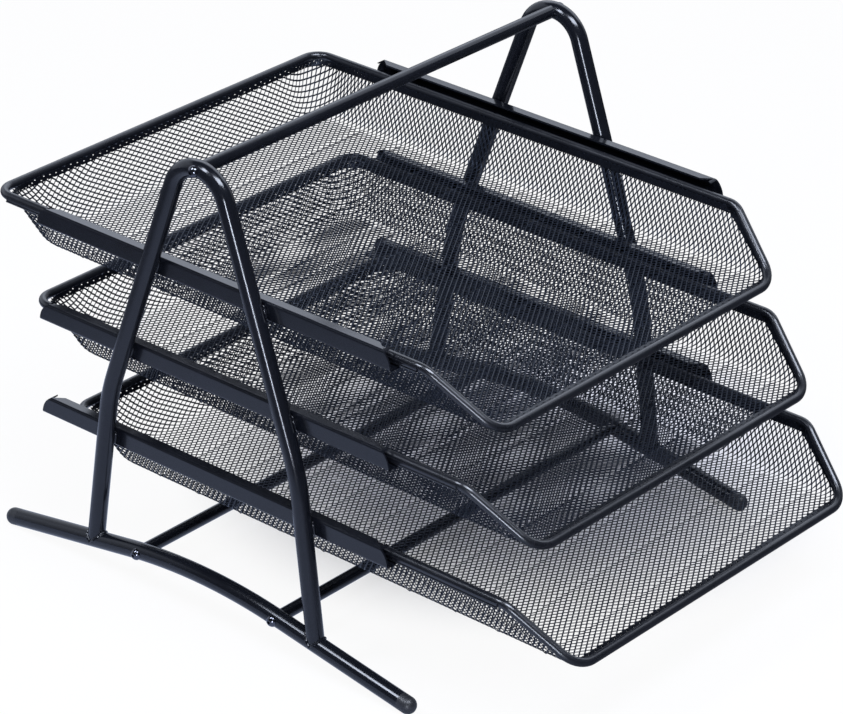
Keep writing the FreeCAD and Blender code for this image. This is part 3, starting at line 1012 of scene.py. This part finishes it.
@dataclass
class Studio:
    """The white sweep, the soft lamps and the camera that the photograph was taken with.

    Lengths and places are in millimetres and angles in degrees. The ways are level directions.
    """

    azimuth: float = 49.74
    elevation: float = 27.60
    roll: float = 1.07
    distance: float = 2157.1
    target: tuple[float, float, float] = (33.28, 33.5, 85.81)
    lens: float = 169.02
    sensor: float = 36.0
    view_depth: float = 100000.0
    lamps: tuple[Lamp, ...] = (
        Lamp("key_softbox", 20.0, 62.0, (1200.0, 600.0), 48.0),
        Lamp("side_softbox", 112.0, 55.0, (320.0, 700.0), 18.0),
        Lamp("strip_light", 57.0, 4.0, (170.0, 500.0), 14.0),
        Lamp("rim_softbox", 248.0, 42.0, (2400.0, 1000.0), 11.0),
    )
    lamp_distance: float = 1800.0
    floor_size: float = 12000.0
    floor_squares: int = 4
    backdrop_top: float = 38.0
    backdrop_fade: float = 9.0
    ceiling: float = 0.03
    backdrop_way: tuple[float, float, float] = (0.55, 0.835, 0.0)
    backdrop_spread: float = 0.55
    dark_room: float = 0.08
    floor_way: tuple[float, float, float] = (-0.763, 0.647, 0.0)
    flag_fade: float = 100.0
    bright_radius: float = 320.0
    dark_radius: float = 600.0
    dark_floor: float = 0.15
    table_glow: float = 0.94
    shaded_glow: float = 0.1
    shade_middle: tuple[float, float, float] = (100.0, 20.0, 0.0)
    shade_inner: float = 80.0
    shade_outer: float = 200.0
    # The table's paint, whose grey is painted shade under the trays.
    table_paint_and_painted_shade: str = "#d2d0d5"
    cool_light: str = "#e8f0ff"
    cool_table: str = "#c3d2f4"

    def camera(self) -> None:
        """Set the camera at the photograph's angle."""
        roll = math.radians(self.roll)
        back = bearing(self.azimuth, self.elevation)
        level = (-back).cross(Vector((0, 0, 1))).normalized()
        upright = level.cross(-back)
        right = math.cos(roll) * level + math.sin(roll) * upright
        up = -math.sin(roll) * level + math.cos(roll) * upright
        data = bpy.data.cameras.new("photograph_camera")
        data.sensor_fit = "HORIZONTAL"
        data.sensor_width = self.sensor
        data.lens = self.lens
        data.clip_end = self.view_depth * MM
        camera = bpy.data.objects.new("photograph_camera", data)
        bpy.context.scene.collection.objects.link(camera)
        place = (Vector(self.target) + back * self.distance) * MM
        facing = Matrix((right, up, back)).transposed().to_4x4()
        camera.matrix_world = Matrix.Translation(place) @ facing
        bpy.context.scene.camera = camera

    def floor(self) -> None:
        """Lay the white table, which keeps a faint shadow of the object."""
        material, tree = new_material("white_laminate_sweep")
        # What the camera sees of the table, straight or mirrored, glows white, but not close
        # under the object, where it is grey paint that takes the shadow; the paint's grey is painted
        # shade, which deepens that shadow.
        rays = add_node(tree, "ShaderNodeLightPath")
        shown = rays.outputs["Is Camera Ray"]
        for ray in ("Is Glossy Ray", "Is Transmission Ray"):
            shown = add_node(
                tree, "ShaderNodeMath", {"operation": "ADD", "use_clamp": True},
                {0: shown, 1: rays.outputs[ray]},
            ).outputs[0]
        place = add_node(tree, "ShaderNodeTexCoord").outputs["Object"]
        shade_middle = Vector(self.shade_middle) * MM
        off = add_node(
            tree, "ShaderNodeVectorMath", {"operation": "DISTANCE", 1: shade_middle}, {0: place},
        )
        glowing = add_node(
            tree, "ShaderNodeMapRange",
            {"interpolation_type": "SMOOTHSTEP", "From Min": self.shade_inner * MM,
             "From Max": self.shade_outer * MM, "To Min": self.shaded_glow, "To Max": self.table_glow},
            {"Value": off.outputs["Value"]},
        )
        share = add_node(
            tree, "ShaderNodeMath", {"operation": "MULTIPLY"}, {0: shown, 1: glowing.outputs[0]},
        )
        # The metal mirrors a table that is bright near the object and on one side of it only.
        away = add_node(tree, "ShaderNodeVectorMath", {"operation": "LENGTH"}, {0: place})
        lit = add_node(
            tree, "ShaderNodeMapRange",
            {"interpolation_type": "SMOOTHSTEP", "From Min": self.bright_radius * MM,
             "From Max": self.dark_radius * MM, "To Min": 1.0, "To Max": self.dark_floor},
            {"Value": away.outputs["Value"]},
        )
        across = add_node(
            tree, "ShaderNodeVectorMath", {"operation": "DOT_PRODUCT", 1: self.floor_way}, {0: place},
        )
        flagged = add_node(
            tree, "ShaderNodeMapRange",
            {"interpolation_type": "SMOOTHSTEP", "From Min": -self.flag_fade * MM,
             "From Max": self.flag_fade * MM, "To Min": self.dark_floor, "To Max": 1.0},
            {"Value": across.outputs["Value"]},
        )
        mirrored = add_node(
            tree, "ShaderNodeMath", {"operation": "MULTIPLY"}, {0: lit.outputs[0], 1: flagged.outputs[0]},
        )
        strength = add_node(
            tree, "ShaderNodeMath", {"operation": "MAXIMUM"},
            {0: mirrored.outputs[0], 1: rays.outputs["Is Camera Ray"]},
        )
        # The grey of this paint is painted shade for the table under the trays.
        painted_shade_paint = add_node(tree, "ShaderNodeBsdfDiffuse", {"Color": linear(self.table_paint_and_painted_shade)})
        tint = add_node(
            tree, "ShaderNodeMix", {"data_type": "RGBA", 6: linear(self.cool_table), 7: (1, 1, 1, 1)},
            {0: rays.outputs["Is Camera Ray"]},
        )
        glow = add_node(
            tree, "ShaderNodeEmission", links={"Color": tint.outputs[2], "Strength": strength.outputs[0]},
        )
        mix = add_node(
            tree, "ShaderNodeMixShader",
            links={0: share.outputs[0], 1: painted_shade_paint.outputs[0], 2: glow.outputs[0]},
        )
        add_node(tree, "ShaderNodeOutputMaterial", links={"Surface": mix.outputs[0]})
        bm = bmesh.new()
        bmesh.ops.create_grid(
            bm, x_segments=self.floor_squares, y_segments=self.floor_squares,
            size=self.floor_size * MM / 2,
        )
        object_from(bm, "white_table", material, smooth=False)

    def world(self) -> None:
        """Light the room from a white backdrop low down, with a dark ceiling over it."""
        world = bpy.data.worlds.new("studio")
        bpy.context.scene.world = world
        world.use_nodes = True
        tree = world.node_tree
        tree.nodes.clear()
        way = add_node(tree, "ShaderNodeTexCoord").outputs["Generated"]
        parts = add_node(tree, "ShaderNodeSeparateXYZ", links={0: way})
        low, high = (
            math.sin(math.radians(self.backdrop_top + part * self.backdrop_fade))
            for part in (-0.5, 0.5)
        )
        shade = add_node(
            tree, "ShaderNodeMapRange",
            {"interpolation_type": "SMOOTHSTEP", "From Min": low, "From Max": high,
             "To Min": 1.0, "To Max": self.ceiling},
            {"Value": parts.outputs["Z"]},
        )
        behind = add_node(
            tree, "ShaderNodeVectorMath", {"operation": "DOT_PRODUCT", 1: self.backdrop_way}, {0: way},
        )
        spread = add_node(
            tree, "ShaderNodeMapRange",
            {"interpolation_type": "SMOOTHSTEP", "From Min": 0.0, "From Max": self.backdrop_spread,
             "To Min": self.dark_room, "To Max": 1.0},
            {"Value": behind.outputs["Value"]},
        )
        room = add_node(
            tree, "ShaderNodeMath", {"operation": "MULTIPLY"}, {0: shade.outputs[0], 1: spread.outputs[0]},
        )
        rays = add_node(tree, "ShaderNodeLightPath")
        strength = add_node(
            tree, "ShaderNodeMath", {"operation": "MAXIMUM"},
            {0: room.outputs[0], 1: rays.outputs["Is Camera Ray"]},
        )
        tint = add_node(
            tree, "ShaderNodeMix", {"data_type": "RGBA", 6: linear(self.cool_light), 7: (1, 1, 1, 1)},
            {0: rays.outputs["Is Camera Ray"]},
        )
        back = add_node(
            tree, "ShaderNodeBackground", links={"Color": tint.outputs[2], "Strength": strength.outputs[0]},
        )
        add_node(tree, "ShaderNodeOutputWorld", links={"Surface": back.outputs[0]})

    def hang_lamp(self, lamp: Lamp) -> None:
        """Hang one soft box.

        Args:
            lamp: Its name, place, size and power.
        """
        data = bpy.data.lights.new(lamp.name, "AREA")
        data.shape = "RECTANGLE"
        data.size, data.size_y = (part * MM for part in lamp.size)
        data.energy = lamp.power
        data.color = linear(self.cool_light)[:3]
        box = bpy.data.objects.new(lamp.name, data)
        bpy.context.scene.collection.objects.link(box)
        back = bearing(lamp.turn, lamp.rise)
        target = Vector(self.target) * MM
        facing = back.to_track_quat("Z", "Y").to_matrix().to_4x4()
        box.matrix_world = Matrix.Translation(target + back * self.lamp_distance * MM) @ facing
        box.visible_camera = False

    def build(self) -> None:
        """Set up the whole studio."""
        self.camera()
        self.floor()
        self.world()
        for lamp in self.lamps:
            self.hang_lamp(lamp)
        bpy.context.scene.view_settings.view_transform = "Standard"


class LetterTray:
    """The whole object: CAD nodes with their finishes, and the pieces that stand in for some of them."""

    def __init__(self, frame: Mapping[str, Any]) -> None:
        """Keep the frame.
        """
        self.frame = frame

    def dress(self) -> None:
        """Give every carried-over CAD node its finish."""
        for name, node in self.frame["nodes"].items():
            finish = FRAME_COAT
            if "wire" in name:
                finish = WIRE_COAT
            if "cap" in name:
                finish = CAP_PLASTIC
            if "screws" in name:
                finish = SCREW_PLATING
            node.data.materials.clear()
            node.data.materials.append(finish.material())
            LOG.info("dressed %s in %s", name, finish.name)

    def baskets(self) -> None:
        """Press one basket in strips, and hang a copy of it in each rim wire."""
        wire_low, wire_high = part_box("top_tray_rim_wire")
        basket = TrayBasket(
            net=ExpandedMesh(),
            rim_half_width=wire_high.x / MM - WIRE_RADIUS,
            rim_length=(wire_high.y - wire_low.y) / MM - 2 * WIRE_RADIUS,
            lip_drop=(wire_high.z - wire_low.z) / MM - 2 * WIRE_RADIUS,
        )
        edge = basket.fold_x + basket.flat_wall * basket.blank_spare
        strip = basket.middle_diamonds * basket.net.long_way
        spans = {
            "left": (-edge, -strip, None),
            "middle": (-strip, strip, None),
            "right": (strip, edge, None),
            "rim_hem": (-edge, edge, Hem.RIM),
            "slant_hem": (-edge, edge, Hem.SLANT),
        }
        for word, (left, right, hem) in spans.items():
            pattern = basket.piece("basket_" + word, left, right, hem)
            for tier in Tier:
                self.hang(pattern, tier, word, basket.net.sheet)
            bpy.data.objects.remove(pattern)

    def hang(self, pattern: bpy.types.Object, tier: Tier, word: str, thickness: float) -> None:
        """Hang a copy of one strip in a tier's rim wire.

        Args:
            pattern: The strip, measured from the rim wire's axis.
            tier: The tier that takes it.
            word: The strip's name.
            thickness: The sheet's thickness in millimetres.
        """
        wire = "%s_tray_rim_wire" % tier.value
        _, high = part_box(wire)
        mesh = pattern.data.copy()
        axis = (0, high.y - WIRE_RADIUS * MM, high.z - WIRE_RADIUS * MM)
        mesh.transform(Matrix.Translation(axis))
        piece = bpy.data.objects.new("%s_tray_mesh_%s" % (tier.value, word), mesh)
        bpy.context.scene.collection.objects.link(piece)
        sheet = piece.modifiers.new("sheet", "SOLIDIFY")
        sheet.thickness = thickness * MM
        sheet.offset = 0.0
        sheet.use_even_offset = False
        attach(piece, tier.value + "_tray")
        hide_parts(tier.value + "_tray_mesh_basket")
        LOG.info("hung %s: %d faces", piece.name, len(mesh.polygons))

    def strips(self) -> None:
        """Roll the slide strips of all the trays."""
        for tier in Tier:
            for side in Side:
                node = "%s_tray_%s_slide_strip" % (tier.value, side.word)
                low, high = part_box(node)
                wire_low, wire_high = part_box(tier.value + "_tray_rim_wire")
                wire_x = wire_high.x if side is Side.RIGHT else wire_low.x
                wire = Vector((
                    wire_x / MM - side.value * WIRE_RADIUS, 0, wire_high.z / MM - WIRE_RADIUS,
                ))
                strip = SlideStrip().piece(
                    "%s_tray_%s_rolled_strip" % (tier.value, side.word),
                    side, wire, low.y / MM, high.y / MM,
                )
                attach(strip, tier.value + "_tray")
                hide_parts(node)
                LOG.info("rolled %s", strip.name)

    def screws(self) -> None:
        """Drive the screws of the handle bar and of the base bars."""
        screw = DomeScrew()
        radius = screw.head_radius
        for node in ("handle_screws", "base_bar_screws"):
            low, high = (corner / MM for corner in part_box(node))
            spots = [(low.y + radius, low.z + radius)]
            apart = high.y - low.y - 2 * radius
            if apart > radius:
                spots.append((high.y - radius, high.z - radius))
            seat_x = high.x - screw.head_height
            seats = [Vector((side.value * seat_x, y, z)) for side in Side for y, z in spots]
            piece = screw.piece(node.replace("screws", "socket_screws"), seats)
            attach(piece, "stand")
            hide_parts(node)
            LOG.info("drove %s: %d screws", piece.name, len(seats))

    def welds(self) -> None:
        """Lay the weld beads of both side frames."""
        for side in Side:
            boxes = [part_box("%s_%s_rail" % (tier.value, side.word)) for tier in Tier]
            rails = [(low.z / MM, high.z / MM) for low, high in boxes]
            beads = Welds().piece(side.word + "_frame_weld_beads", side, rails)
            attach(beads, "stand")
            LOG.info("welded %s", beads.name)

    def build(self) -> None:
        """Build and dress the object."""
        self.dress()
        self.baskets()
        self.strips()
        self.screws()
        self.welds()


def main() -> None:
    """Load the frame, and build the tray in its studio."""
    logging.basicConfig(level=logging.INFO, format="%(message)s")
    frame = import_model()
    LetterTray(frame).build()
    Studio().build()


if __name__ == "__main__":
    main()
